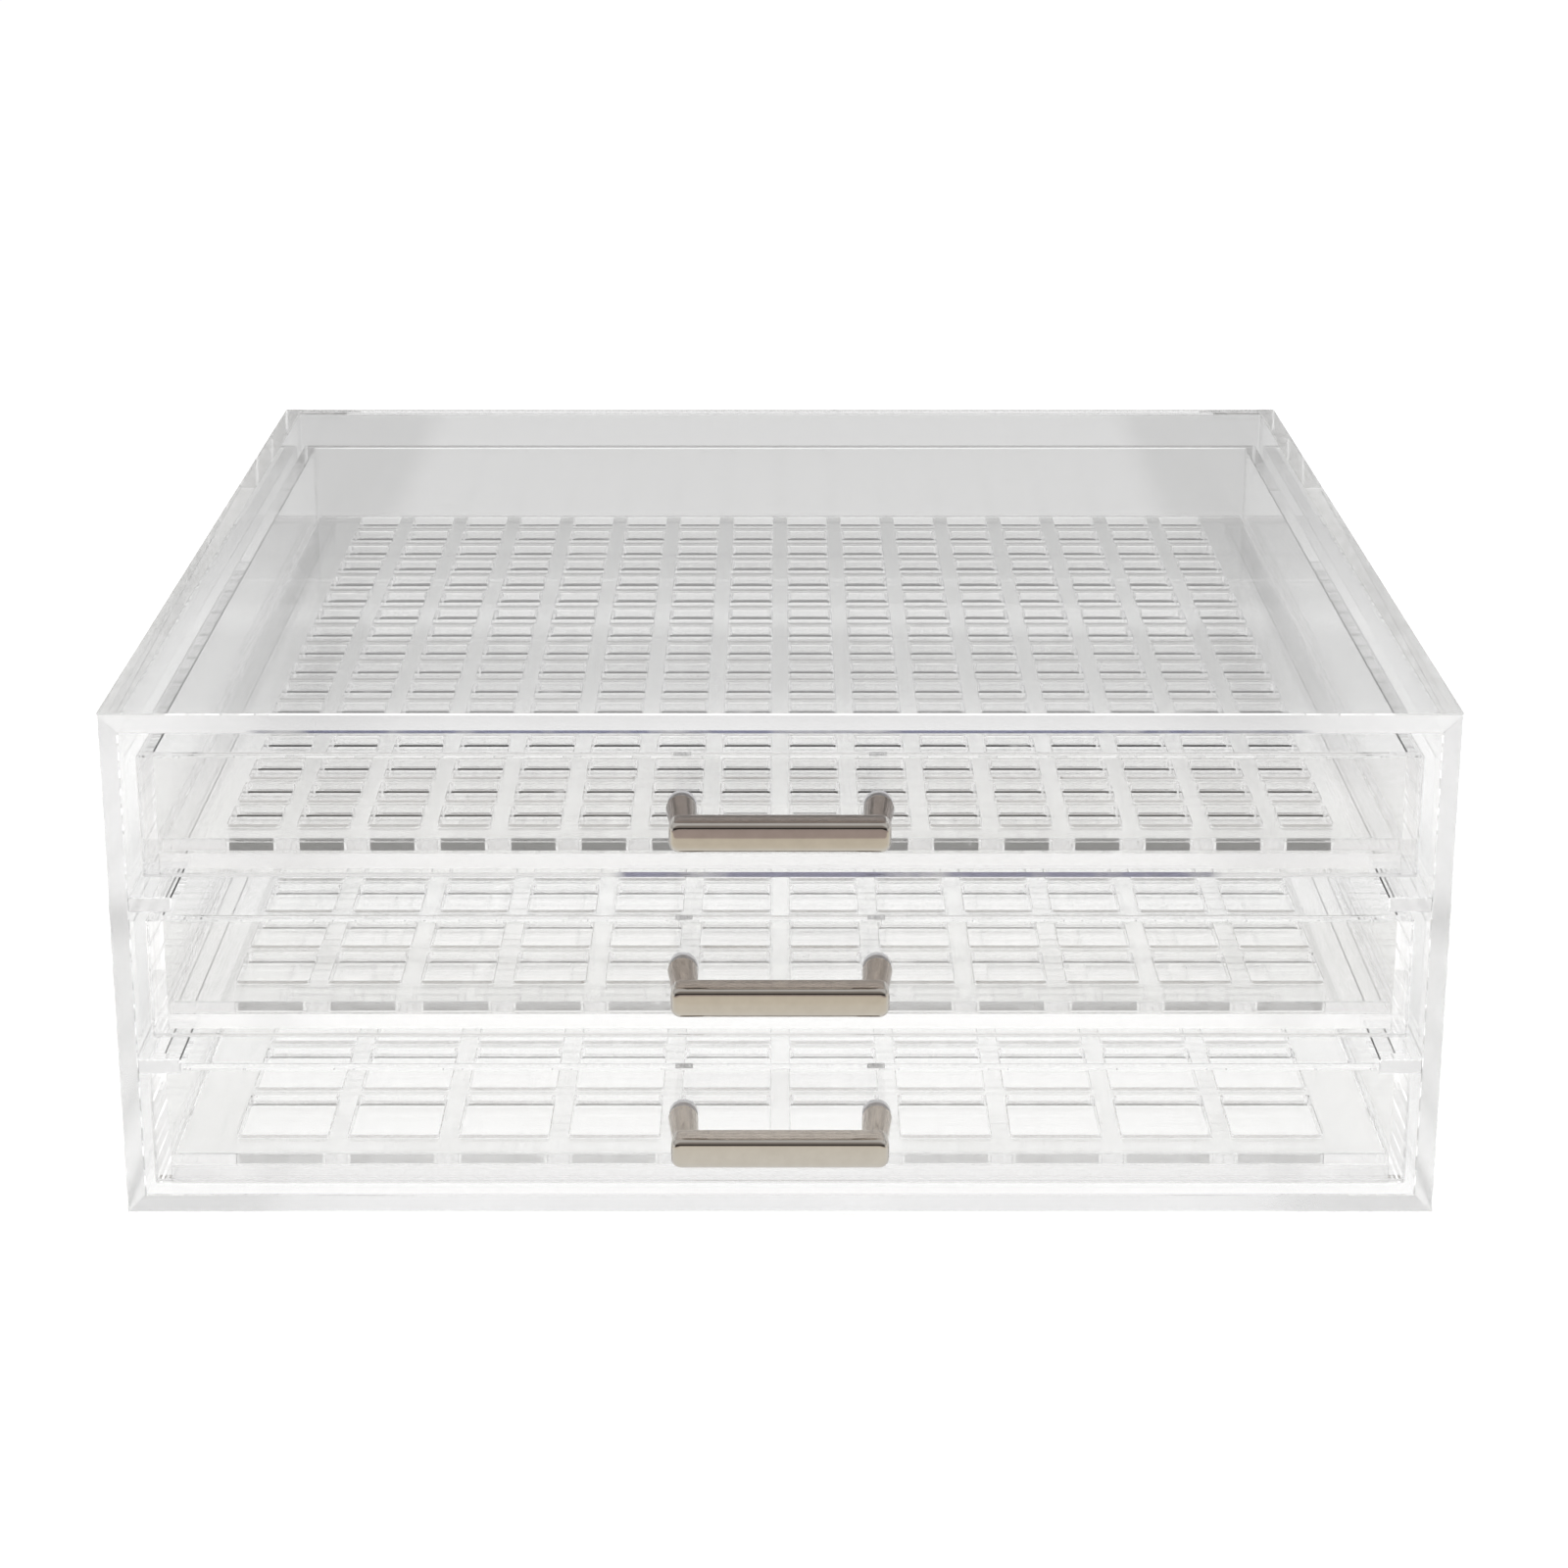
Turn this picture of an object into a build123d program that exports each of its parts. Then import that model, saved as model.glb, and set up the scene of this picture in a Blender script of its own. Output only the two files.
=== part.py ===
from build123d import *
import os

# Clear acrylic jewellery organizer: an open-fronted case with three gridded drawers, in millimetres.
# +Z is up, the drawers open towards -Y, and the origin is the middle of the case's underside.

# Case sheets, mitred where the top, bottom and sides meet
case_width = 250.0
case_depth = 260.0
case_sheet = 3.8

# Runner strips on the side panels
runner_width = 8.0
runner_sheet = 3.0

# Drawers and the room around them
drawer_height = 24.0
drawer_sheet = 3.0
drawer_recess = 10.0
drawer_back_clearance = 0.5
drawer_side_clearance = 1.0
slide_clearance = 0.3
lower_headroom = 0.6
middle_headroom = 5.3
upper_headroom = 7.6
lower_drawer_pull = 6.0
base_lift = 1.1

# Grid plates that lie on the drawer bases: square counts of cells, with their own plain margins in front
plate_sheet = 2.5
plate_side_clearance = 0.5
plate_end_clearance = 1.5
plate_side_margin = 11.0
plate_back_margin = 2.0
upper_plate_setback = 1.4
middle_plate_setback = 0.1
lower_plate_setback = 0.1
upper_front_margin = 8.5
middle_front_margin = 11.0
lower_front_margin = 8.9
upper_web = 3.6
middle_web = 4.0
lower_web = 4.0
upper_cell_count = 16
middle_cell_count = 12
lower_cell_count = 10

# Bow handles
handle_height = 13.5
handle_projection = 16.5
leg_spacing = 37.0
leg_foot_radius = 2.9
leg_tip_radius = 2.4
leg_inset = 0.9
bar_overhang = 2.8
bar_depth = 6.0
bar_height = 6.0
bar_edge_radius = 1.5

# Handle screws
screw_radius = 1.5
screw_grip = 5.5
screw_tip_room = 0.8
thread_clearance = 0.05
screw_hole_clearance = 0.2
screw_head_radius = 2.75
screw_head_height = 2.0
screw_head_edge_radius = 0.7
screw_slot_length = 3.2
screw_slot_width = 0.7
screw_slot_depth = 1.0

# Levels, from the underside of the case up
lower_floor = case_sheet + slide_clearance
middle_runner_top = lower_floor + drawer_height + lower_headroom + runner_sheet
middle_floor = middle_runner_top + slide_clearance
upper_runner_top = middle_floor + drawer_height + middle_headroom + runner_sheet
upper_floor = upper_runner_top + slide_clearance
case_height = upper_floor + drawer_height + upper_headroom + case_sheet

# Places that the pieces share
case_front = -case_depth / 2
case_back = case_depth / 2
case_back_inside = case_back - case_sheet
case_inside = case_width / 2 - case_sheet
drawer_half_width = case_inside - drawer_side_clearance
drawer_inside = drawer_half_width - drawer_sheet
drawer_length = case_back_inside - drawer_back_clearance - case_front - drawer_recess
plate_width = 2 * (drawer_inside - plate_side_clearance)
plate_length = drawer_length - 2 * drawer_sheet - plate_end_clearance
leg_places = (-leg_spacing / 2, leg_spacing / 2)

# Each drawer's floor level, how far it stands open, how far its base is set up from its rims, and its grid plate
drawers = {
    "upper": {
        "floor": upper_floor,
        "pull": 0,
        "lift": base_lift,
        "setback": upper_plate_setback,
        "margin": upper_front_margin,
        "web": upper_web,
        "count": upper_cell_count,
    },
    "middle": {
        "floor": middle_floor,
        "pull": 0,
        "lift": base_lift,
        "setback": middle_plate_setback,
        "margin": middle_front_margin,
        "web": middle_web,
        "count": middle_cell_count,
    },
    "lower": {
        "floor": lower_floor,
        "pull": lower_drawer_pull,
        "lift": 0,
        "setback": lower_plate_setback,
        "margin": lower_front_margin,
        "web": lower_web,
        "count": lower_cell_count,
    },
}

pieces = {}


def block(x_range, y_range, z_range):
    """A square-edged sheet or strip that fills the three ranges."""
    ranges = (x_range, y_range, z_range)
    sizes = [high - low for low, high in ranges]
    middles = [(low + high) / 2 for low, high in ranges]
    return Pos(*middles) * Box(*sizes)


def mitred_sheet(span):
    """A case sheet with its outside face on top, both long edges cut back at 45 degrees underneath."""
    half_outside = span / 2
    half_inside = half_outside - case_sheet
    outline = Polyline(
        (-half_outside, 0),
        (half_outside, 0),
        (half_inside, -case_sheet),
        (-half_inside, -case_sheet),
        close=True,
    )
    return extrude(Plane.XZ * make_face(outline), amount=case_depth / 2, both=True)


def forward_rod(radius, length):
    """A round rod from Y = 0 towards -Y."""
    return Rot(X=90) * Cylinder(radius, length, align=(Align.CENTER, Align.CENTER, Align.MIN))


def make_case():
    """The five sheets of the case and the two pairs of runner strips."""
    pieces["top_panel"] = Pos(Z=case_height) * mitred_sheet(case_width)
    pieces["bottom_panel"] = Rot(Y=180) * mitred_sheet(case_width)
    for side, sign in (("left", -1), ("right", 1)):
        upright = Rot(Y=sign * 90) * mitred_sheet(case_height)
        pieces[f"{side}_side_panel"] = Pos(sign * case_width / 2, 0, case_height / 2) * upright
    pieces["back_panel"] = block(
        (-case_inside, case_inside),
        (case_back_inside, case_back),
        (case_sheet, case_height - case_sheet),
    )
    for level, top in (("upper", upper_runner_top), ("middle", middle_runner_top)):
        run = (case_front, case_back_inside)
        rise = (top - runner_sheet, top)
        inner_edge = case_inside - runner_width
        pieces[f"{level}_left_runner"] = block((-case_inside, -inner_edge), run, rise)
        pieces[f"{level}_right_runner"] = block((inner_edge, case_inside), run, rise)


def make_drawer_box(name, floor, front, lift):
    """The five sheets of a drawer: front and back across the whole width, sides and base between them."""
    back = front + drawer_length
    rise = (floor, floor + drawer_height)
    across = (-drawer_half_width, drawer_half_width)
    between = (front + drawer_sheet, back - drawer_sheet)
    front_sheet = block(across, (front, front + drawer_sheet), rise)
    hole = forward_rod(screw_radius + screw_hole_clearance, drawer_sheet)
    for place in leg_places:
        front_sheet -= Pos(place, front + drawer_sheet, floor + handle_height) * hole
    pieces[f"{name}_drawer_front"] = front_sheet
    pieces[f"{name}_drawer_back"] = block(across, (back - drawer_sheet, back), rise)
    pieces[f"{name}_drawer_left_side"] = block((-drawer_half_width, -drawer_inside), between, rise)
    pieces[f"{name}_drawer_right_side"] = block((drawer_inside, drawer_half_width), between, rise)
    pieces[f"{name}_drawer_base"] = block(
        (-drawer_inside, drawer_inside), between, (floor + lift, floor + lift + drawer_sheet)
    )


def cell_size(room, count, web):
    """The size of one of count equal cells that fill the room, with webs between them."""
    return (room - (count - 1) * web) / count


def grid_plate(count, web, front_margin):
    """A flat plate with as many through cells across as along, its front edge on Y = 0, its underside on Z = 0."""
    cells_length = plate_length - front_margin - plate_back_margin
    cell_width = cell_size(plate_width - 2 * plate_side_margin, count, web)
    cell_length = cell_size(cells_length, count, web)
    places = GridLocations(cell_width + web, cell_length + web, count, count)
    outline = Pos(Y=plate_length / 2) * Rectangle(plate_width, plate_length)
    outline -= Pos(Y=front_margin + cells_length / 2) * places * Rectangle(cell_width, cell_length)
    return extrude(outline, plate_sheet)


def handle():
    """A bow handle whose feet stand on Y = 0, centred on Z = 0, with a blind screw hole in each leg."""
    bar_length = leg_spacing - 2 * leg_inset + 2 * bar_overhang
    bar_middle = bar_depth / 2 - handle_projection
    bar = Box(bar_length, bar_depth, bar_height)
    bow = Pos(Y=bar_middle) * fillet(bar.edges(), bar_edge_radius)
    for sign, place in zip((-1, 1), leg_places):
        foot = Plane((place, 0, 0), z_dir=(0, -1, 0)) * Circle(leg_foot_radius)
        tip = Plane((place - sign * leg_inset, bar_middle, 0), z_dir=(0, -1, 0)) * Circle(leg_tip_radius)
        bow += loft([foot, tip])
    for place in leg_places:
        bow -= Pos(X=place) * forward_rod(screw_radius + thread_clearance, screw_grip + screw_tip_room)
    return bow


def handle_screw():
    """A pan-head screw whose head bears on Y = 0, with its shank towards -Y."""
    head = Rot(X=180) * forward_rod(screw_head_radius, screw_head_height)
    rim = head.edges().filter_by(GeomType.CIRCLE).sort_by(Axis.Y)[-1]
    head = fillet(rim, screw_head_edge_radius)
    slot = Box(screw_slot_length, screw_slot_depth, screw_slot_width)
    crossed_slot = Box(screw_slot_width, screw_slot_depth, screw_slot_length)
    head -= Pos(Y=screw_head_height - screw_slot_depth / 2) * (slot + crossed_slot)
    return head + forward_rod(screw_radius, drawer_sheet + screw_grip)


def make_handle(name, floor, front):
    """The handle of a drawer and its pair of screws."""
    pieces[f"{name}_handle"] = Pos(0, front, floor + handle_height) * handle()
    screws = [Pos(place, front + drawer_sheet, floor + handle_height) * handle_screw() for place in leg_places]
    pieces[f"{name}_handle_screws"] = Compound(children=screws)


make_case()
for name, drawer in drawers.items():
    front = case_front + drawer_recess - drawer["pull"]
    base_top = drawer["floor"] + drawer["lift"] + drawer_sheet
    make_drawer_box(name, drawer["floor"], front, drawer["lift"])
    plate = grid_plate(drawer["count"], drawer["web"], drawer["margin"])
    pieces[f"{name}_grid_plate"] = Pos(0, front + drawer_sheet + drawer["setback"], base_top) * plate
    make_handle(name, drawer["floor"], front)

os.makedirs("parts", exist_ok=True)
for name, piece in pieces.items():
    export_step(piece, f"parts/{name}.step")
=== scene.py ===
import math

import bmesh
import bpy
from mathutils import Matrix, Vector


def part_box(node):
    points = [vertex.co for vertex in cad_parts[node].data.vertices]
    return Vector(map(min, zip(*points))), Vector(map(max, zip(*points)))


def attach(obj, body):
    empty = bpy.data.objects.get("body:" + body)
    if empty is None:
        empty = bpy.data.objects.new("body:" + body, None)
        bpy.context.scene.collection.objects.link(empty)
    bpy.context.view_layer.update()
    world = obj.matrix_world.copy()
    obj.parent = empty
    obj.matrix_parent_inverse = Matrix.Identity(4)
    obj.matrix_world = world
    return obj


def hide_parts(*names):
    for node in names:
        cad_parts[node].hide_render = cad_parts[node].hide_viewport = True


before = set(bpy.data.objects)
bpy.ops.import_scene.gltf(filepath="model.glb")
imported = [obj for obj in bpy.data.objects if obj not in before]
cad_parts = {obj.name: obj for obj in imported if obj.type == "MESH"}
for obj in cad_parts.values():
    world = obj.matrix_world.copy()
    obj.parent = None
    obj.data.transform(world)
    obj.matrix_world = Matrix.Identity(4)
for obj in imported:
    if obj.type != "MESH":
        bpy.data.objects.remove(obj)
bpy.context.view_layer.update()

# Clear acrylic organizer: an open-fronted case with three gridded drawers, in metres
# +Z is up, the drawers open towards -Y, and the origin is the middle of the case's underside
MM = 0.001
X, Y, Z = range(3)
DRAWERS = ("upper", "middle", "lower")

# Sheets: chamfers, how far glued edges are let into each other, the air at loose joints and under the case
SHEET_EDGE = 0.25 * MM
WELD = 0.03 * MM
LOOSE_GAP = 0.04 * MM
FLOOR_GAP = 0.3 * MM

# Painted dark reflections along the lower front edges of the top panel and of the upper drawer's front
TOP_EDGE_LINE = 0.65 * MM
UPPER_FRONT_EDGE_LINE = 1.1 * MM

# Grid plates: cells each way, web and front margin of each, then what they share
GRIDS = {
    "upper": (16, 3.6 * MM, 8.5 * MM),
    "middle": (12, 4.0 * MM, 11.0 * MM),
    "lower": (10, 4.0 * MM, 8.9 * MM),
}
SIDE_MARGIN = 11.0 * MM
BACK_MARGIN = 2.0 * MM
CELL_CORNER = 0.7 * MM
CELL_CORNER_STEPS = 2
CELL_EDGE = 0.2 * MM
# Height of the painted shade that draws dark dashes along the lower rims of the cells
DASH_SHADE_HEIGHT = 0.6 * MM

# Bow handles: the bar, its front face crowned by rows at shares of its half height, and the two legs
BAR_LENGTH = 40.8 * MM
BAR_DEPTH = 6.0 * MM
BAR_CROWN = 0.09 * MM
CROWN_SHARES = (-0.3, -0.15, 0, 0.15, 0.3)
CROWN_END_SHARE = 0.5
BAR_END_ROUNDING = 1.9 * MM
BAR_END_STEPS = 8
BAR_EDGE_ROUNDING = 1.3 * MM
BAR_EDGE_STEPS = 6
HANDLE_HEIGHT = 13.5 * MM
LEG_SPACING = 37.0 * MM
LEG_INSET = 0.9 * MM
LEG_SIDES = 40
FOOT_RADIUS = 2.9 * MM
LEG_TIP_RADIUS = 2.4 * MM

# Screw holes in the legs and the drawer fronts, and the seats of the screw heads
SCREW_BORE_RADIUS = 1.55 * MM
SCREW_BORE_DEPTH = 6.3 * MM
FRONT_HOLE_RADIUS = 1.7 * MM
SCREW_SEAT_RADIUS = 2.9 * MM
HOLE_SIDES = 32
HOLE_OVERRUN_SHARE = 3

# How near counts as touching, on sheets and handles, on grid plates, and where a bar meets its legs
TOUCHING = 0.01 * MM
PLATE_TOUCHING = 0.05 * MM
BOW_TOUCHING = 0.002 * MM

# Cosines: faces that face a way, slope, lean a little or stand beside it, and edges that run along it
FACING = 0.9
SLOPING = 0.5
LEANING = 0.4
MITRED = 0.3
BESIDE = 0.1
PARALLEL = 0.99

# Angles from which an edge is sharp, on a bar and in a cell, and up to which a handle is shaded smooth
BAR_SHARP = math.radians(50)
CELL_SHARP = math.radians(60)
HANDLE_SMOOTH = math.radians(35)
QUARTER_TURN = math.radians(90)


def deselect():
    """Leaves nothing selected."""
    bpy.ops.object.select_all(action="DESELECT")


def start_editing():
    """Enters edit mode with all of the active piece selected."""
    bpy.ops.object.mode_set(mode="EDIT")
    bpy.ops.mesh.select_all(action="SELECT")


def stop_editing():
    """Goes back to object mode."""
    bpy.ops.object.mode_set(mode="OBJECT")


def settle():
    """Puts the place, turn and size of the active piece into its mesh, and returns the piece."""
    bpy.ops.object.transform_apply(location=True, rotation=True, scale=True)
    return bpy.context.object


def start_block(name, low, high):
    """A cube stretched to fill the box between two corners, left in edit mode."""
    deselect()
    bpy.ops.mesh.primitive_cube_add(size=1, location=(low + high) / 2, scale=high - low)
    block = settle()
    block.name = name
    start_editing()
    return block


def pick(piece, kind, wanted):
    """In edit mode, selects just the vertices, edges or faces for which wanted holds."""
    bpy.ops.mesh.select_mode(type=kind)
    bpy.ops.mesh.select_all(action="DESELECT")
    shape = bmesh.from_edit_mesh(piece.data)
    shape.normal_update()
    found = {"VERT": shape.verts, "EDGE": shape.edges, "FACE": shape.faces}[kind]
    for element in found:
        if wanted(element):
            element.select_set(True)
    bmesh.update_edit_mesh(piece.data)


def pull_out(move):
    """In edit mode, extrudes what is selected."""
    bpy.ops.mesh.extrude_region_move(TRANSFORM_OT_translate={"value": move})


def round_edges(piece, width, steps, wanted):
    """In edit mode, rounds the edges for which wanted holds, or breaks them with a chamfer of one step."""
    pick(piece, "EDGE", wanted)
    bpy.ops.mesh.bevel(offset=width, segments=steps, affect="EDGES")


def cut_level(level):
    """In edit mode, cuts all faces along a level plane."""
    bpy.ops.mesh.select_all(action="SELECT")
    bpy.ops.mesh.bisect(plane_co=(0, 0, level), plane_no=(0, 0, 1))


def turn_outwards():
    """In edit mode, points all faces outwards."""
    bpy.ops.mesh.select_all(action="SELECT")
    bpy.ops.mesh.normals_make_consistent(inside=False)


def finish_piece(piece, body, node, slot, *materials):
    """Leaves edit mode, gives the piece its materials and puts it on its body in place of the node."""
    stop_editing()
    piece.data.materials.clear()
    for material in materials:
        piece.data.materials.append(material)
    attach(piece, body)
    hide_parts(node)
    return piece


class Finish:
    """The nodes of a finish, with short ways to add more of them and join them."""

    def __init__(self, tree, coordinates="Object"):
        self.tree = tree
        spot = self.add("ShaderNodeTexCoord", {})
        self.place = spot.outputs[coordinates]
        self.facing = spot.outputs["Normal"]

    def feed(self, node, inputs):
        """Sets a node's inputs to plain values, or joins them to the outputs of other nodes."""
        for key, value in inputs.items():
            if isinstance(value, bpy.types.NodeSocket):
                self.tree.links.new(value, node.inputs[key])
            else:
                node.inputs[key].default_value = value

    def add(self, kind, inputs, **settings):
        """A new node with its settings and inputs."""
        node = self.tree.nodes.new(kind)
        for key, value in settings.items():
            setattr(node, key, value)
        self.feed(node, inputs)
        return node

    def along(self, axis, vector=None):
        """One part of a vector: of the place on the piece, if no other is given."""
        return self.add("ShaderNodeSeparateXYZ", {"Vector": vector or self.place}).outputs[axis]

    def noise(self, scale, detail=2.0, vector=None):
        """A cloudy value between 0 and 1."""
        inputs = {"Vector": vector or self.place, "Scale": scale, "Detail": detail}
        return self.add("ShaderNodeTexNoise", inputs).outputs["Fac"]

    def spread(self, value, start=0.0, end=1.0, low=0.0, high=1.0):
        """A value between start and end, spread out from low to high."""
        inputs = {"Value": value, "From Min": start, "From Max": end, "To Min": low, "To Max": high}
        return self.add("ShaderNodeMapRange", inputs).outputs["Result"]

    def reckon(self, operation, *values, clamp=False):
        """A sum, product or the like of one or two values."""
        inputs = dict(enumerate(values))
        return self.add("ShaderNodeMath", inputs, operation=operation, use_clamp=clamp).outputs["Value"]

    def mix(self, factor, first, second):
        """The first colour where the factor is 0 and the second where it is 1."""
        inputs = {"Factor": factor, "A": first, "B": second}
        return self.add("ShaderNodeMix", inputs, data_type="RGBA").outputs["Result"]

    def ramp(self, value, stops):
        """The colour that belongs to a value, between stops of a value and a colour each."""
        node = self.add("ShaderNodeValToRGB", {"Fac": value})
        elements = node.color_ramp.elements
        while len(elements) < len(stops):
            elements.new(1.0)
        for element, (position, colour) in zip(elements, stops):
            element.position = position
            element.color = (*colour, 1)
        return node.outputs["Color"]

    def paint(self, inputs):
        """Sets the inputs of the surface."""
        self.feed(self.tree.nodes["Principled BSDF"], inputs)


def start_finish(name):
    """A new material and its nodes."""
    material = bpy.data.materials.new(name)
    material.use_nodes = True
    return material, Finish(material.node_tree)


def grey(tone):
    """A neutral colour."""
    return (tone, tone, tone)


def greys(stops):
    """Stops of neutral colours from pairs of a value and a tone."""
    return [(position, grey(tone)) for position, tone in stops]


WHITE = grey(1.0)

# Clear acrylic: how it bends light, and the tints of its sheets, glued mitres and grid plates
ACRYLIC_IOR = 1.49
CLEAR = {"IOR": ACRYLIC_IOR, "Transmission Weight": 1.0}
CLEAR_TINT = (0.996, 0.996, 0.994)
MITRE_TINT = (0.84, 0.84, 0.83)
GRID_TINT = (0.89, 0.89, 0.885)

# How rough the surfaces are
POLISHED = 0.0
SCUFFED = 0.06
LASER_CUT = 0.1
LINED = 0.2
SATIN = 0.25
FROSTED = 0.5
DRILLED = 0.6
ZINC_PLATED = 0.5
NICKEL_HAZE = (0.03, 0.09)

# How high the ripples of the acrylic are, and how they are drawn out
SHEET_RIPPLE = 0.0002 * MM
MITRE_RIPPLE = 0.002 * MM
CUT_RIPPLE = 0.0001 * MM
STREAK_RIPPLE = 0.06 * MM
EVEN = (1, 1, 1)
DRAWN_UPRIGHT = (1, 1, 0.05)

# How fine the patterns are, in repeats per metre
SHEET_WAVES = 30.0
MITRE_WAVES = 220.0
CUT_WAVES = 900.0
STREAK_WAVES = 500.0
FROST_WAVES = 700.0
EDGE_CLOUDS = 60.0
NICKEL_WAVES = 400.0
ZINC_GRAIN = 900.0
DRILL_SCRATCHES = 1500.0
DASH_STREAKS = 60.0
FIRST_STREAKS = 400.0
LINE_BLOTCHES = 90.0

# Satin front edges: the heights between which their painted shade changes, and how much it clouds
EDGE_SHADE_RISE = (52.0 * MM, 60.0 * MM)
EDGE_CLOUD_SHARES = (0.9, 1.1)

# Painted shade on cell walls: the depths between which it changes, and the clear streaks that break it up
SHADE_DEPTHS = (-110.0 * MM, 120.0 * MM)
STREAK_RANGE = (0.66, 0.8)
STREAK_TONE = 0.9

# Painted dark reflections on edges: the middle, reach and tone of each, then their paler blotches and how
# they fade out
TOP_LINE = (0.0, 95.0 * MM, (0.07, 0.075, 0.14))
UPPER_FRONT_LINE = (26.0 * MM, 55.0 * MM, (0.10, 0.10, 0.17))
BLOTCH_TONE = (0.45, 0.45, 0.47)
BLOTCH_RANGE = (0.52, 0.72)
LINE_FADE = 3.0 * MM

# Polished nickel, and the brownish painted shade of each handle's upper side and legs, darkest on the upper
# handle
NICKEL_TONES = ((0.0, (0.50, 0.47, 0.43)), (1.0, (0.58, 0.55, 0.51)))
UPPER_SHADES = {"upper": (0.36, 0.30, 0.27), "middle": (0.66, 0.59, 0.54), "lower": (0.92, 0.87, 0.83)}
UPPER_SHADE_FACING = (0.84, 0.90)
LEG_SHADE_BLEND = 0.5 * MM

# Walls of drilled holes, and the zinc plate of the screws
DRILLED_CLEAR_SHARE = 0.25
DRILLED_TONES = ((0.4, 0.75), (0.6, 1.0))
ZINC_METAL_SHARE = 0.3
ZINC_TONES = ((0.0, (0.72, 0.72, 0.74)), (1.0, (0.86, 0.86, 0.88)))


def acrylic(name, tint, roughness, ripple, ripple_scale, stretch=EVEN):
    """Clear acrylic: a faint ripple bends what is seen through it, and its tint wanders a little."""
    material, finish = start_finish(name)
    stretched = finish.add("ShaderNodeMapping", {"Vector": finish.place, "Scale": stretch})
    wave = finish.noise(ripple_scale, detail=1.0, vector=stretched.outputs["Vector"])
    bump = finish.add("ShaderNodeBump", {"Strength": 1.0, "Distance": ripple, "Height": wave})
    tone = finish.ramp(wave, ((0.0, tint), (1.0, WHITE)))
    finish.paint({**CLEAR, "Roughness": roughness, "Base Color": tone, "Normal": bump.outputs["Normal"]})
    return material


def front_edge(name, lower_edge_shade, upper_edge_shade):
    """The satin front edge of a case sheet, with painted shade for each half of its height and a little
    cloudy.
    """
    material, finish = start_finish(name)
    rise = finish.spread(finish.along("Z"), *EDGE_SHADE_RISE, low=lower_edge_shade, high=upper_edge_shade)
    cloud = finish.spread(finish.noise(EDGE_CLOUDS), 0.0, 1.0, *EDGE_CLOUD_SHARES)
    tint = finish.reckon("MULTIPLY", rise, cloud, clamp=True)
    finish.paint({**CLEAR, "Roughness": SATIN, "Base Color": tint})
    return material


def nickel(name, bar_back, upper_shade):
    """Polished nickel plate with faint polishing waves, and brownish painted shade on top of the bar and
    along the legs.
    """
    material, finish = start_finish(name)
    wave = finish.noise(NICKEL_WAVES)
    # Painted shade: faces that look upwards, and the legs behind the bar, are darkened towards a brownish
    # tone
    on_top = finish.spread(finish.along("Z", finish.facing), *UPPER_SHADE_FACING)
    on_leg = finish.spread(finish.along("Y"), bar_back - LEG_SHADE_BLEND, bar_back + LEG_SHADE_BLEND)
    painted_dark = finish.reckon("MAXIMUM", on_top, on_leg)
    shade = finish.mix(painted_dark, (*WHITE, 1), (*upper_shade, 1))
    plate = {0: finish.ramp(wave, NICKEL_TONES), 1: shade}
    colour = finish.add("ShaderNodeVectorMath", plate, operation="MULTIPLY").outputs["Vector"]
    haze = finish.spread(wave, 0.0, 1.0, *NICKEL_HAZE)
    finish.paint({"Metallic": 1.0, "Roughness": haze, "Base Color": colour})
    return material


def drilled_wall(name):
    """The white, scratched wall of a drilled hole."""
    material, finish = start_finish(name)
    tone = finish.ramp(finish.noise(DRILL_SCRATCHES), greys(DRILLED_TONES))
    wall = {"IOR": ACRYLIC_IOR, "Transmission Weight": DRILLED_CLEAR_SHARE}
    finish.paint({**wall, "Roughness": DRILLED, "Base Color": tone})
    return material


def steel(name):
    """Dull, pale zinc plate of the screws."""
    material, finish = start_finish(name)
    tone = finish.ramp(finish.noise(ZINC_GRAIN), ZINC_TONES)
    finish.paint({"Metallic": ZINC_METAL_SHARE, "Roughness": ZINC_PLATED, "Base Color": tone})
    return material


def painted_cut_shade(name, front_shade, back_shade, streak_scale):
    """Painted shade on the rim of a laser-cut cell wall, darker towards the front and broken up by streaks.
    """
    material, finish = start_finish(name)
    depth_shade = finish.spread(finish.along("Y"), *SHADE_DEPTHS, low=front_shade, high=back_shade)
    streaks = finish.spread(finish.noise(streak_scale, detail=3.0), *STREAK_RANGE)
    shade = finish.mix(streaks, depth_shade, (*grey(STREAK_TONE), 1))
    finish.paint({**CLEAR, "Roughness": LASER_CUT, "Base Color": shade})
    return material


def painted_edge_reflection(name, centre, reach, tone):
    """A painted dark bluish reflection along a lower front edge, which fades out beyond its reach from its
    centre.
    """
    material, finish = start_finish(name)
    off_centre = finish.reckon("ABSOLUTE", finish.reckon("SUBTRACT", finish.along("X"), centre))
    fade = finish.spread(off_centre, reach, reach + LINE_FADE)
    line = finish.ramp(finish.noise(LINE_BLOTCHES, detail=3.0), tuple(zip(BLOTCH_RANGE, (tone, BLOTCH_TONE))))
    finish.paint({**CLEAR, "Roughness": LINED, "Base Color": finish.mix(fade, line, (*WHITE, 1))})
    return material


# Looks of the case, the drawers and their grid plates
CASE_SHEET_LOOK = acrylic("case acrylic", CLEAR_TINT, POLISHED, SHEET_RIPPLE, SHEET_WAVES)
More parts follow.
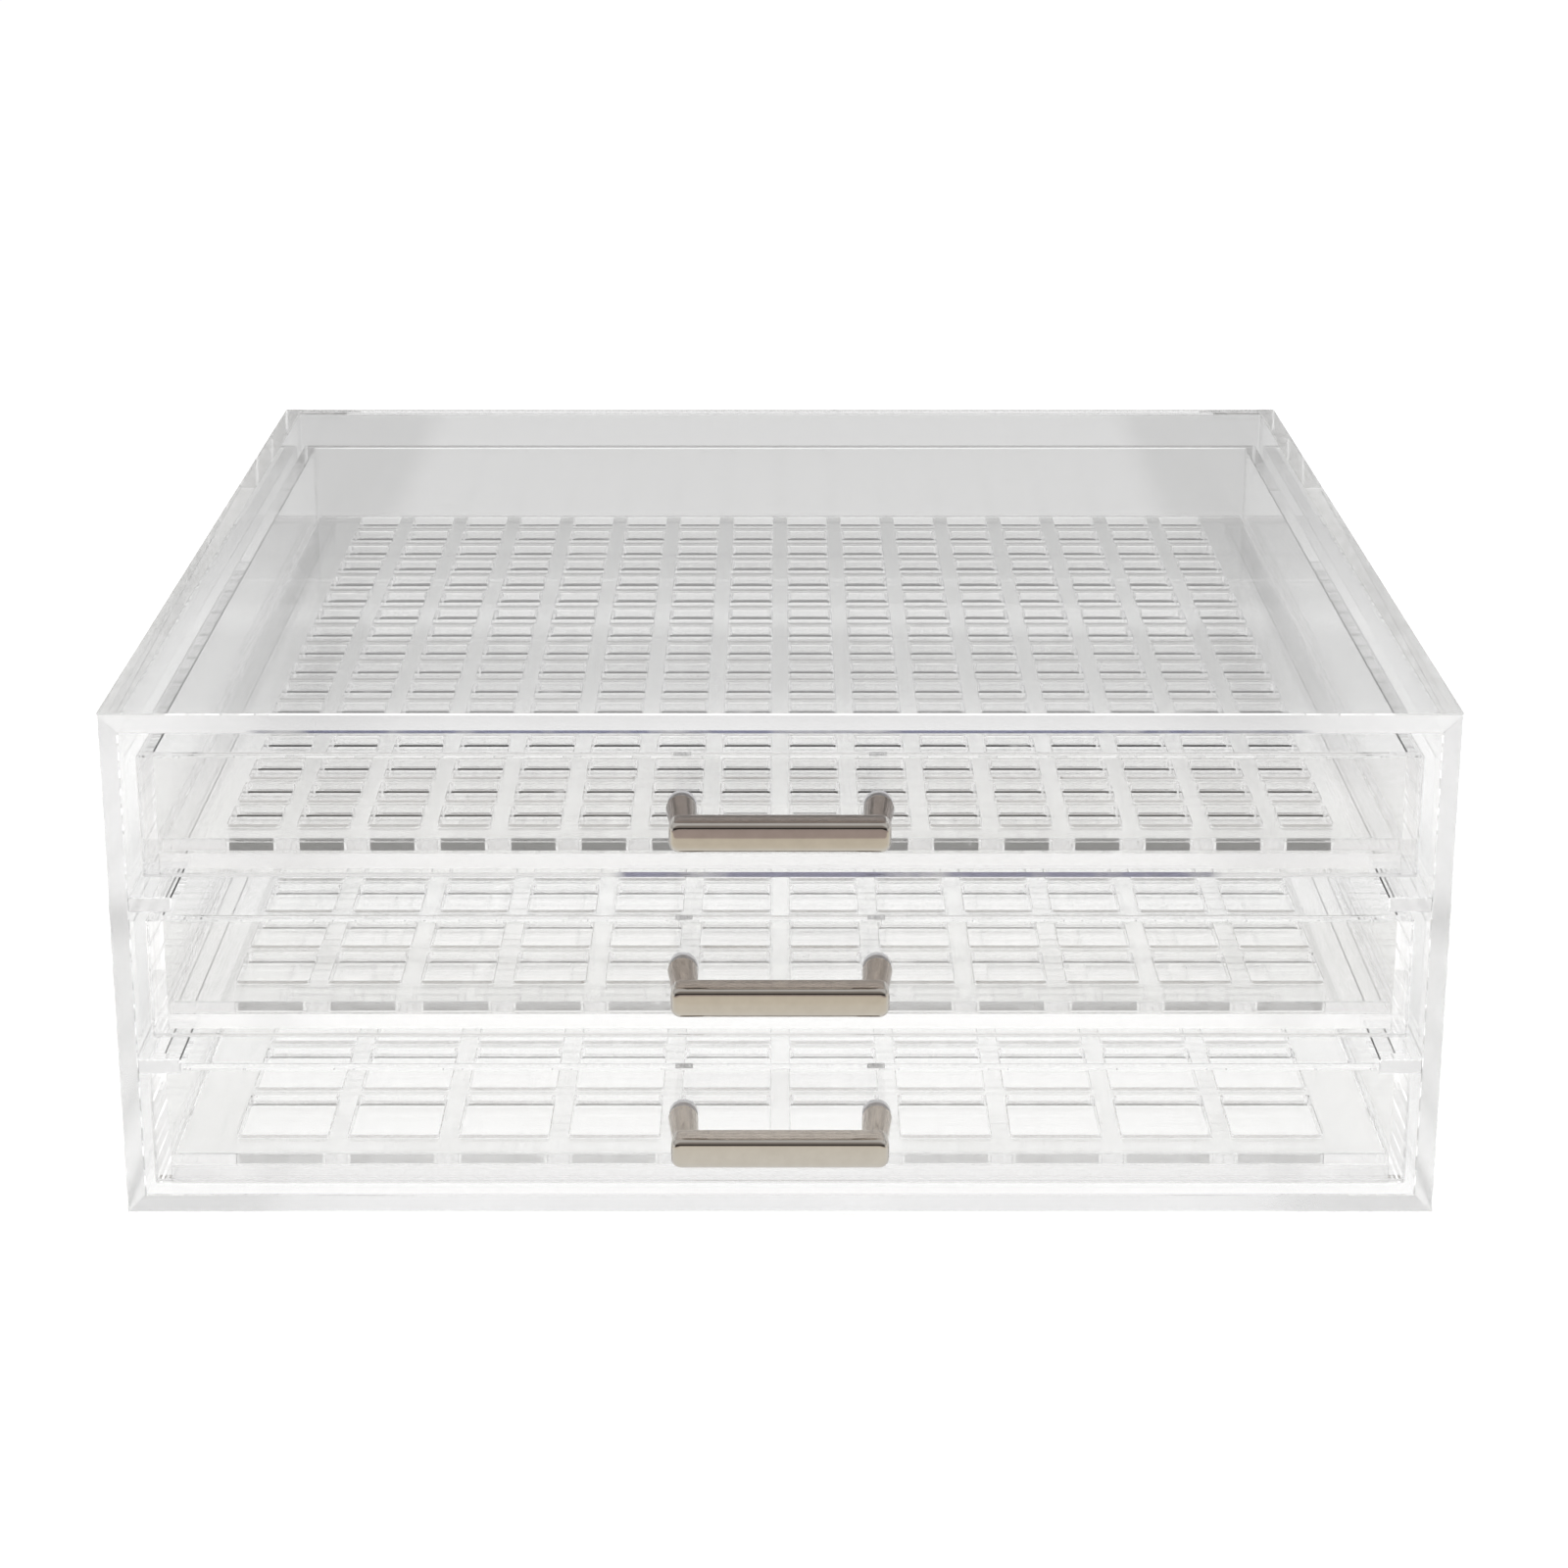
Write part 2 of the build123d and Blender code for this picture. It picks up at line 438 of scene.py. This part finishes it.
# Painted shade: each front edge is darkened by its own amount, the side edges more towards the top
SIDE_EDGE_LOOK = front_edge("side front edge", lower_edge_shade=0.95, upper_edge_shade=0.56)
CASE_EDGE_LOOKS = {
    "top_panel": front_edge("top front edge", lower_edge_shade=0.98, upper_edge_shade=0.98),
    "bottom_panel": front_edge("bottom front edge", lower_edge_shade=0.64, upper_edge_shade=0.64),
    "left_side_panel": SIDE_EDGE_LOOK,
    "right_side_panel": SIDE_EDGE_LOOK,
}
RUNNER_EDGE_LOOK = front_edge("runner front edge", lower_edge_shade=0.74, upper_edge_shade=0.74)
MITRE_LOOK = acrylic("glued mitre", MITRE_TINT, POLISHED, MITRE_RIPPLE, MITRE_WAVES)
TOP_EDGE_LOOK = painted_edge_reflection("top edge line", *TOP_LINE)
UPPER_FRONT_EDGE_LOOK = painted_edge_reflection("upper front edge line", *UPPER_FRONT_LINE)
DRAWER_SHEET_LOOK = acrylic("drawer acrylic", CLEAR_TINT, POLISHED, SHEET_RIPPLE, SHEET_WAVES)
BASE_LOOK = acrylic("drawer base acrylic", CLEAR_TINT, SCUFFED, SHEET_RIPPLE, SHEET_WAVES)
DRILLED_LOOK = drilled_wall("drilled wall")
GRID_FACE_LOOK = acrylic("grid acrylic", GRID_TINT, POLISHED, SHEET_RIPPLE, SHEET_WAVES)
GRID_CUT_LOOK = acrylic("grid cut edge", CLEAR_TINT, LASER_CUT, CUT_RIPPLE, CUT_WAVES, DRAWN_UPRIGHT)
STREAKED_CUT_LOOK = acrylic(
    "streaked cut edge", CLEAR_TINT, POLISHED, STREAK_RIPPLE, STREAK_WAVES, DRAWN_UPRIGHT
)
FROSTED_CUT_LOOK = acrylic("frosted cut edge", CLEAR_TINT, FROSTED, SHEET_RIPPLE, FROST_WAVES)
# Painted shade for the dark dashes along the cells' lower rims, darkest on the upper plate
DASH_SHADE_LOOKS = {
    "upper": painted_cut_shade("upper burnt cut", front_shade=0.002, back_shade=0.03, streak_scale=DASH_STREAKS),
    "middle": painted_cut_shade("middle burnt cut", front_shade=0.2, back_shade=0.35, streak_scale=DASH_STREAKS),
    "lower": painted_cut_shade("lower burnt cut", front_shade=0.25, back_shade=0.4, streak_scale=DASH_STREAKS),
}
# Painted shade on the front wall of each plate's first row of cells, darkest on the upper plate
FIRST_WALL_SHADE_LOOKS = {
    "upper": painted_cut_shade("upper first cut", front_shade=0.05, back_shade=0.05, streak_scale=FIRST_STREAKS),
    "middle": painted_cut_shade("middle first cut", front_shade=0.34, back_shade=0.34, streak_scale=FIRST_STREAKS),
    "lower": painted_cut_shade("lower first cut", front_shade=0.54, back_shade=0.54, streak_scale=FIRST_STREAKS),
}
SCREW_LOOK = steel("screw steel")


def lies_at(element, axis, level, tolerance):
    """True for an edge or a face that lies in a plane across an axis."""
    return all(abs(v.co[axis] - level) < tolerance for v in element.verts)


def runs_along(edge, axis):
    """True for an edge that is parallel to an axis."""
    run = edge.verts[1].co - edge.verts[0].co
    return abs(run[axis]) > PARALLEL * run.length


def faces_front(face):
    """True for a face that looks straight out of the front."""
    return face.normal.y < -FACING


def dress_faces(piece, look, wanted):
    """Gives the faces of a piece for which wanted holds their own look."""
    piece.data.materials.append(look)
    for face in piece.data.polygons:
        if wanted(face):
            face.material_index = len(piece.data.materials) - 1


def mitred_sheet(node, inside):
    """A case sheet whose long edges are cut back at 45 degrees on the inside face."""
    low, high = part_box(node)
    piece = start_block(node + "_sheet", low, high)
    axis = max(range(3), key=lambda i: abs(inside[i]))
    across = Z if axis == X else X
    thickness = high[axis] - low[axis]
    span = high[across] - low[across]
    pick(piece, "FACE", lambda face: face.normal.dot(inside) > FACING)
    shrink = [1.0, 1.0, 1.0]
    shrink[across] = (span - 2 * thickness + 2 * WELD) / span
    bpy.ops.transform.resize(value=shrink, center_override=(low + high) / 2)

    def is_end_edge(edge):
        at_end = lies_at(edge, Y, low.y, TOUCHING) or lies_at(edge, Y, high.y, TOUCHING)
        return at_end and runs_along(edge, across)

    def is_mitre(face):
        return MITRED < face.normal.dot(inside) < FACING and abs(face.normal.y) < BESIDE

    round_edges(piece, SHEET_EDGE, 1, is_end_edge)
    finish_piece(piece, "case", node, "case_acrylic", CASE_SHEET_LOOK)
    dress_faces(piece, CASE_EDGE_LOOKS[node], faces_front)
    dress_faces(piece, MITRE_LOOK, is_mitre)
    return piece


def line_lower_edge(piece, look, width):
    """Gives a narrow strip along the lower front edge of a sheet its own look, a painted dark reflection."""
    level = min(v.co.z for v in piece.data.vertices) + width
    deselect()
    bpy.context.view_layer.objects.active = piece
    start_editing()
    cut_level(level)
    stop_editing()
    dress_faces(piece, look, lambda face: face.normal.y < -LEANING and face.center.z < level)


def glued_sheet(node, body, slot, look, weld_low, weld_high):
    """A square-cut sheet or strip, let into its neighbours by a hair at the sides that are glued."""
    low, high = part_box(node)
    piece = start_block(node + "_sheet", low - Vector(weld_low) * WELD, high + Vector(weld_high) * WELD)
    middle = (low + high) / 2
    reach = (high - low) / 2

    def is_free(edge):
        at = (edge.verts[0].co + edge.verts[1].co) / 2 - middle
        return not any(
            (weld_high if at[i] > 0 else weld_low)[i] and abs(at[i]) > reach[i] - TOUCHING for i in range(3)
        )

    round_edges(piece, SHEET_EDGE, 1, is_free)
    return finish_piece(piece, body, node, slot, look)


def combine(piece, other, how):
    """Joins or cuts a piece with another by a boolean, and uses the other up."""
    deselect()
    piece.select_set(True)
    bpy.context.view_layer.objects.active = piece
    change = piece.modifiers.new(how.lower(), "BOOLEAN")
    change.operation = how
    change.object = other
    change.solver = "EXACT"
    bpy.ops.object.modifier_apply(modifier=change.name)
    bpy.data.objects.remove(other)


def drill_front(piece, name):
    """Drills the two screw holes of a handle through a drawer's front, with shallow seats for the heads."""
    low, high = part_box(f"{name}_drawer_front")
    hole = (FRONT_HOLE_RADIUS, (low.y + high.y) / 2, (high.y - low.y) * HOLE_OVERRUN_SHARE)
    seat = (SCREW_SEAT_RADIUS, high.y, 2 * LOOSE_GAP)
    for sign in (-1, 1):
        for radius, depth_middle, depth in (hole, seat):
            deselect()
            bpy.ops.mesh.primitive_cylinder_add(
                vertices=HOLE_SIDES,
                radius=radius,
                depth=depth,
                location=(sign * LEG_SPACING / 2, depth_middle, low.z + HANDLE_HEIGHT),
                rotation=(QUARTER_TURN, 0, 0),
            )
            combine(piece, bpy.context.object, "DIFFERENCE")

    def is_hole_wall(face):
        inside_rims = low.z + SHEET_EDGE < face.center.z < high.z - SHEET_EDGE
        return inside_rims and abs(face.normal.y) < BESIDE and abs(face.center.x) < LEG_SPACING

    dress_faces(piece, DRILLED_LOOK, is_hole_wall)


def crowned_bar(name, low, high):
    """The bar of a handle: a block with a crowned front face, round ends and eased edges."""
    bar = start_block(name, low, high)
    middle = (low + high) / 2
    half_height = (high.z - low.z) / 2
    for share in CROWN_SHARES:
        cut_level(middle.z + share * half_height)
    for share in CROWN_SHARES:
        level = middle.z + share * half_height
        pick(bar, "VERT", lambda v: abs(v.co.z - level) < TOUCHING and v.co.y < middle.y)
        bpy.ops.transform.translate(value=(0, -BAR_CROWN * (1 - (share / CROWN_END_SHARE) ** 2), 0))
    round_edges(
        bar, BAR_END_ROUNDING, BAR_END_STEPS,
        lambda e: e.calc_face_angle(0) > BAR_SHARP and runs_along(e, Y),
    )
    round_edges(bar, BAR_EDGE_ROUNDING, BAR_EDGE_STEPS, lambda e: e.calc_face_angle(0) > BAR_SHARP)
    stop_editing()
    return bar


def handle_leg(foot, sign, reach):
    """A round leg that tapers from its foot towards the bar, with a blind screw hole in the foot."""
    deselect()
    bpy.ops.mesh.primitive_circle_add(
        vertices=LEG_SIDES, radius=FOOT_RADIUS, fill_type="NGON", location=foot, rotation=(QUARTER_TURN, 0, 0)
    )
    leg = settle()
    start_editing()
    move = Vector((-sign * LEG_INSET, -reach, 0))
    taper = LEG_TIP_RADIUS / FOOT_RADIUS
    pull_out(move)
    bpy.ops.transform.resize(value=(taper, 1, taper), center_override=Vector(foot) + move)
    pick(leg, "FACE", lambda face: lies_at(face, Y, foot[Y], TOUCHING))
    bpy.ops.mesh.inset(thickness=FOOT_RADIUS - SCREW_BORE_RADIUS)
    pull_out((0, -SCREW_BORE_DEPTH, 0))
    turn_outwards()
    stop_editing()
    return leg


def make_handle(name):
    """A bow handle: a crowned bar on two legs."""
    node = f"{name}_handle"
    low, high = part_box(node)
    bar_low = Vector((-BAR_LENGTH / 2, low.y + BAR_CROWN, low.z))
    bar_high = Vector((BAR_LENGTH / 2, low.y + BAR_DEPTH, high.z))
    middle = (bar_low + bar_high) / 2
    bow = crowned_bar(f"{name}_bow_handle", bar_low, bar_high)
    for sign in (-1, 1):
        foot = (sign * LEG_SPACING / 2, high.y - LOOSE_GAP, middle.z)
        combine(bow, handle_leg(foot, sign, high.y - middle.y), "UNION")
    start_editing()
    bpy.ops.mesh.remove_doubles(threshold=BOW_TOUCHING)
    turn_outwards()
    # Nickel with painted shade on top of the bar and along the legs, darkest on the upper handle
    look = nickel(f"{name} handle nickel", bar_high.y, UPPER_SHADES[name])
    finish_piece(bow, f"{name}_drawer", node, "polished_nickel", look)
    bpy.ops.object.shade_smooth_by_angle(angle=HANDLE_SMOOTH)


def flat_cell(name, middle, pitch_x, pitch_y, web):
    """One cell of a grid, still flat: an opening inside a border of half a web."""
    deselect()
    bpy.ops.mesh.primitive_plane_add(size=1, location=middle)
    bpy.context.object.scale = (pitch_x, pitch_y, 1)
    cell = settle()
    cell.name = name
    start_editing()
    bpy.ops.mesh.inset(thickness=web / 2)
    bpy.ops.mesh.delete(type="FACE")
    stop_editing()
    return cell


def repeat_cell(piece, count, step):
    """Repeats a cell or a row of cells and merges what touches."""
    row = piece.modifiers.new("repeat", "ARRAY")
    row.count = count
    row.use_relative_offset = False
    row.use_constant_offset = True
    row.constant_offset_displace = step
    row.use_merge_vertices = True
    row.merge_threshold = TOUCHING
    bpy.ops.object.modifier_apply(modifier=row.name)


def add_margin(piece, axis, sign, rim, width):
    """In edit mode, draws the outer border of the cells out to a rim of the plate."""
    pick(piece, "EDGE", lambda e: lies_at(e, axis, rim - sign * width, PLATE_TOUCHING))
    move = Vector((0, 0, 0))
    move[axis] = sign * width
    pull_out(move)


def thicken(piece, thickness):
    """Gives a flat plate its thickness, upwards."""
    sheet = piece.modifiers.new("thickness", "SOLIDIFY")
    sheet.thickness = thickness
    sheet.offset = 1
    bpy.ops.object.modifier_apply(modifier=sheet.name)


def dress_plate(piece, name, front, first_wall, back, dash_shade_top):
    """Gives the faces of a grid plate and the walls of its cells their own looks."""
    looks = {
        "face": GRID_FACE_LOOK,
        "cut": GRID_CUT_LOOK,
        "dash_shade": DASH_SHADE_LOOKS[name],
        "streaked": STREAKED_CUT_LOOK,
        "frosted": FROSTED_CUT_LOOK,
        "first": FIRST_WALL_SHADE_LOOKS[name],
    }

    def cut_of(face):
        at = face.center
        # Painted shade: the front wall of the first row of cells
        if face.normal.y > FACING and abs(at.y - first_wall) < PLATE_TOUCHING:
            return "first"
        # Painted shade: the lower rims of the cell walls that face the front
        if faces_front(face) and at.y > front + PLATE_TOUCHING and at.z < dash_shade_top:
            return "dash_shade"
        if at.y > back - PLATE_TOUCHING:
            return "frosted"
        if abs(face.normal.x) > SLOPING:
            return "streaked"
        return "cut" if abs(face.normal.z) < FACING else "face"

    finish_piece(piece, f"{name}_drawer", f"{name}_grid_plate", "grid_acrylic", *looks.values())
    order = list(looks)
    for face in piece.data.polygons:
        face.material_index = order.index(cut_of(face))


def grid_plate(name):
    """A plate cut into a grid of cells: one cell is repeated, bordered, thickened, rounded and cut at the top
    of the painted shade along the cells' lower rims.
    """
    node = f"{name}_grid_plate"
    low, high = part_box(node)
    count, web, front_margin = GRIDS[name]
    pitch_x = (high.x - low.x - 2 * SIDE_MARGIN + web) / count
    pitch_y = (high.y - low.y - front_margin - BACK_MARGIN + web) / count
    underside = low.z + LOOSE_GAP
    first_x = low.x + SIDE_MARGIN - web / 2 + pitch_x / 2
    first_y = low.y + front_margin - web / 2 + pitch_y / 2
    piece = flat_cell(node + "_sheet", (first_x, first_y, underside), pitch_x, pitch_y, web)
    for step in ((pitch_x, 0, 0), (0, pitch_y, 0)):
        repeat_cell(piece, count, step)
    start_editing()
    margins = (
        (X, -1, low.x, SIDE_MARGIN),
        (X, 1, high.x, SIDE_MARGIN),
        (Y, -1, low.y, front_margin),
        (Y, 1, high.y, BACK_MARGIN),
    )
    for axis, sign, rim, margin in margins:
        add_margin(piece, axis, sign, rim, margin - web / 2)
    bpy.ops.mesh.select_all(action="SELECT")
    bpy.ops.mesh.remove_doubles(threshold=TOUCHING)
    stop_editing()
    thicken(piece, high.z - underside)
    start_editing()
    turn_outwards()

    def is_cell_corner(edge):
        at = edge.verts[0].co
        inside = all(low[i] + PLATE_TOUCHING < at[i] < high[i] - PLATE_TOUCHING for i in (X, Y))
        return inside and runs_along(edge, Z)

    round_edges(piece, CELL_CORNER, CELL_CORNER_STEPS, is_cell_corner)
    round_edges(piece, CELL_EDGE, 1, lambda e: e.calc_face_angle(0) > CELL_SHARP)
    # The painted dark dashes reach this height above the underside
    dash_shade_top = underside + DASH_SHADE_HEIGHT
    cut_level(dash_shade_top)
    dress_plate(piece, name, low.y, low.y + front_margin, high.y, dash_shade_top)


def make_case():
    """The four mitred sheets of the case, its back and the two pairs of runner strips."""
    top = mitred_sheet("top_panel", Vector((0, 0, -1)))
    line_lower_edge(top, TOP_EDGE_LOOK, TOP_EDGE_LINE)
    mitred_sheet("bottom_panel", Vector((0, 0, 1)))
    mitred_sheet("left_side_panel", Vector((1, 0, 0)))
    mitred_sheet("right_side_panel", Vector((-1, 0, 0)))
    sheet = ("case", "case_acrylic", CASE_SHEET_LOOK)
    glued_sheet("back_panel", *sheet, (1, 0, 1), (1, 0, 1))
    for level in ("upper", "middle"):
        left = glued_sheet(f"{level}_left_runner", *sheet, (1, 0, 0), (0, 1, 0))
        right = glued_sheet(f"{level}_right_runner", *sheet, (0, 0, 0), (1, 1, 0))
        dress_faces(left, RUNNER_EDGE_LOOK, faces_front)
        dress_faces(right, RUNNER_EDGE_LOOK, faces_front)


def make_drawer(name):
    """A drawer: its five sheets, its grid plate and its handle."""
    body = f"{name}_drawer"
    sheet = (body, "drawer_acrylic", DRAWER_SHEET_LOOK)
    front = glued_sheet(f"{body}_front", *sheet, (0, 0, 0), (0, 0, 0))
    drill_front(front, name)
    if name == "upper":
        line_lower_edge(front, UPPER_FRONT_EDGE_LOOK, UPPER_FRONT_EDGE_LINE)
    glued_sheet(f"{body}_back", *sheet, (0, 0, 0), (0, 0, 0))
    glued_sheet(f"{body}_left_side", *sheet, (0, 1, 0), (0, 1, 0))
    glued_sheet(f"{body}_right_side", *sheet, (0, 1, 0), (0, 1, 0))
    glued_sheet(f"{body}_base", body, "drawer_acrylic", BASE_LOOK, (1, 1, 0), (1, 1, 0))
    grid_plate(name)
    make_handle(name)


def dress_screws():
    """Gives the handle screws their zinc plate."""
    for name in DRAWERS:
        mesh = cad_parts[f"{name}_handle_screws"].data
        mesh.materials.clear()
        mesh.materials.append(SCREW_LOOK)


# Floor: its size, its tone and how bright it is seen straight
FLOOR_SIZE = 30.0
FLOOR_TONE = 0.3
FLOOR_SEEN_STRAIGHT = 0.82

# Painted pool of light on the floor, seen through the acrylic and mirrored: how bright it is, from the middle
# of the case (0) to a depth behind it (1)
FLOOR_DEPTH = 0.5
FLOOR_TONES = ((0.08, 0.80), (0.22, 0.95), (0.34, 1.0), (0.54, 1.0), (0.66, 0.75), (0.80, 0.50))

# Where the painted light on the floor dims beside the case, and what share of it is left there
FLOOR_SIDES = (125.0 * MM, 135.0 * MM)
FLOOR_SIDE_SHARE = 0.68

# Glowing card on the floor in front, which paints reflections: its size, where it starts, and its colours
# from there (0) to its reach (1)
CARD_SIZE = 6.0
CARD_START = -135.0 * MM
CARD_REACH = 0.5
CARD_COLOURS = (
    (0.0, (1.0, 1.0, 0.98)),
    (0.06, (1.0, 0.98, 0.92)),
    (0.25, (0.92, 0.86, 0.74)),
    (0.45, (0.84, 0.77, 0.65)),
    (0.49, (0.56, 0.47, 0.44)),
    (1.0, (0.50, 0.42, 0.40)),
)

# The card's painted colour where it is seen inside the acrylic, and the depth above which light has gone
# through or been mirrored
CARD_INSIDE_COLOUR = (0.66, 0.65, 0.63)
BOUNCED = 0.5

# Studio walls: tones by height (the sine of the angle above level), and where the sides and the front begin
WALL_BEHIND = (
    (0.175, 1.0), (0.205, 0.50), (0.26, 0.49), (0.29, 0.51), (0.304, 0.78),
    (0.318, 0.92), (0.342, 0.96), (0.6, 0.95), (1.0, 0.7),
)
WALL_BESIDE = ((0.175, 1.0), (0.205, 0.60), (0.45, 0.60), (0.6, 0.80), (1.0, 0.7))
WALL_BEFORE = (
    (0.0, (0.05, 0.045, 0.04)),
    (0.36, (0.05, 0.045, 0.04)),
    (0.40, (0.34, 0.31, 0.29)),
    (0.85, (0.34, 0.31, 0.29)),
    (1.0, (0.7, 0.7, 0.7)),
)
SIDE_TURN = (0.35, 0.6)
FRONT_TURN = (-0.45, -0.65)

# Soft boxes: place, size and power of each
LAMPS = (
    ((0.2, 0.3, 1.4), 1.2, 14.0),
    ((-1.0, -0.7, 1.1), 0.9, 8.0),
)

# Camera: lens and sensor in millimetres, place, pitch downwards, sideways shift and nearest distance
LENS = 80.0
SENSOR = 36.0
CAMERA_PLACE = (0.0, -0.7376, 0.289)
CAMERA_PITCH = math.radians(18.43)
CAMERA_SHIFT = 0.0025
CAMERA_NEAREST = 0.01

# Light crosses many sheets and is thrown back and forth inside them
LIGHT_BOUNCES = 64


def make_floor():
    """A wide pale floor that keeps the object's shadow; in reflections and through the acrylic it glows with
    a painted pool of light, brightest just behind the case and dimmer under it, further back and beside it.
    """
    deselect()
    bpy.ops.mesh.primitive_plane_add(size=FLOOR_SIZE, location=(0, 0, -FLOOR_GAP))
    floor = bpy.context.object
    floor.name = "floor"
    material, finish = start_finish("floor")
    ray = finish.add("ShaderNodeLightPath", {}).outputs
    seen_again = finish.reckon("MAXIMUM", ray["Is Glossy Ray"], ray["Is Transmission Ray"])
    along = finish.ramp(finish.spread(finish.along("Y"), end=FLOOR_DEPTH), greys(FLOOR_TONES))
    off_centre = finish.reckon("ABSOLUTE", finish.along("X"))
    across = finish.spread(off_centre, *FLOOR_SIDES, low=1.0, high=FLOOR_SIDE_SHARE)
    # Painted pool of light, seen only in reflections and through the acrylic
    glow = finish.reckon("MULTIPLY", seen_again, finish.reckon("MULTIPLY", along, across))
    straight = finish.reckon("MULTIPLY", ray["Is Camera Ray"], FLOOR_SEEN_STRAIGHT)
    finish.paint({
        "Base Color": (*grey(FLOOR_TONE), 1),
        "Roughness": 1.0,
        "Specular IOR Level": 0.0,
        "Emission Color": (*WHITE, 1),
        "Emission Strength": finish.reckon("ADD", glow, straight),
    })
    floor.data.materials.append(material)


def make_reflection_card():
    """A glowing beige and brown card on the floor in front, seen only mirrored in the metal and the cut
    edges: a painted reflection.
    """
    deselect()
    middle = (0, CARD_START - CARD_SIZE / 2, -FLOOR_GAP / 2)
    bpy.ops.mesh.primitive_plane_add(size=CARD_SIZE, location=middle)
    card = settle()
    card.name = "front_card"
    card.visible_camera = False
    card.visible_diffuse = False
    card.visible_shadow = False
    material, finish = start_finish("front card")
    finish.tree.nodes.remove(finish.tree.nodes["Principled BSDF"])
    ray = finish.add("ShaderNodeLightPath", {}).outputs
    away = finish.spread(finish.along("Y"), CARD_START, CARD_START - CARD_REACH)
    inside = finish.reckon("GREATER_THAN", ray["Transmission Depth"], BOUNCED)
    mirrored = finish.reckon("GREATER_THAN", ray["Glossy Depth"], BOUNCED)
    colour = finish.mix(inside, finish.ramp(away, CARD_COLOURS), (*CARD_INSIDE_COLOUR, 1))
    reflected_glow = finish.add("ShaderNodeEmission", {"Color": colour}).outputs["Emission"]
    nothing = finish.add("ShaderNodeBsdfTransparent", {}).outputs["BSDF"]
    choice = finish.add("ShaderNodeMixShader", {0: mirrored, 1: nothing, 2: reflected_glow}).outputs["Shader"]
    finish.feed(finish.tree.nodes["Material Output"], {"Surface": choice})
    card.data.materials.append(material)


def make_walls():
    """Studio walls: a bright foot and grey above it behind and beside the object, and dark brown in front."""
    world = bpy.data.worlds.new("studio")
    bpy.context.scene.world = world
    world.use_nodes = True
    walls = Finish(world.node_tree, "Generated")
    height = walls.along("Z")
    behind = walls.ramp(height, greys(WALL_BEHIND))
    beside = walls.ramp(height, greys(WALL_BESIDE))
    before = walls.ramp(height, WALL_BEFORE)
    to_side = walls.spread(walls.reckon("ABSOLUTE", walls.along("X")), *SIDE_TURN)
    to_front = walls.spread(walls.along("Y"), *FRONT_TURN)
    around = walls.mix(to_front, walls.mix(to_side, behind, beside), before)
    walls.feed(world.node_tree.nodes["Background"], {"Color": around})


def make_lamps():
    """Two soft boxes overhead, which light the object but aren't seen in it."""
    for place, size, power in LAMPS:
        deselect()
        bpy.ops.object.light_add(type="AREA", location=place)
        lamp = bpy.context.object
        lamp.data.size = size
        lamp.data.energy = power
        lamp.visible_glossy = False
        lamp.visible_transmission = False
        lamp.rotation_euler = Vector(place).to_track_quat("Z", "Y").to_euler()


def make_camera():
    """The camera, in front of the object and looking down on it."""
    deselect()
    bpy.ops.object.camera_add(location=CAMERA_PLACE, rotation=(QUARTER_TURN - CAMERA_PITCH, 0, 0))
    camera = bpy.context.object
    camera.data.lens = LENS
    camera.data.sensor_width = SENSOR
    camera.data.shift_x = CAMERA_SHIFT
    camera.data.clip_start = CAMERA_NEAREST
    bpy.context.scene.camera = camera


make_case()
for name in DRAWERS:
    make_drawer(name)
dress_screws()
make_floor()
make_reflection_card()
make_walls()
make_lamps()
make_camera()
scene = bpy.context.scene
scene.view_settings.view_transform = "Standard"
scene.cycles.max_bounces = LIGHT_BOUNCES
scene.cycles.transmission_bounces = LIGHT_BOUNCES
scene.cycles.glossy_bounces = LIGHT_BOUNCES
scene.cycles.blur_glossy = 0.0
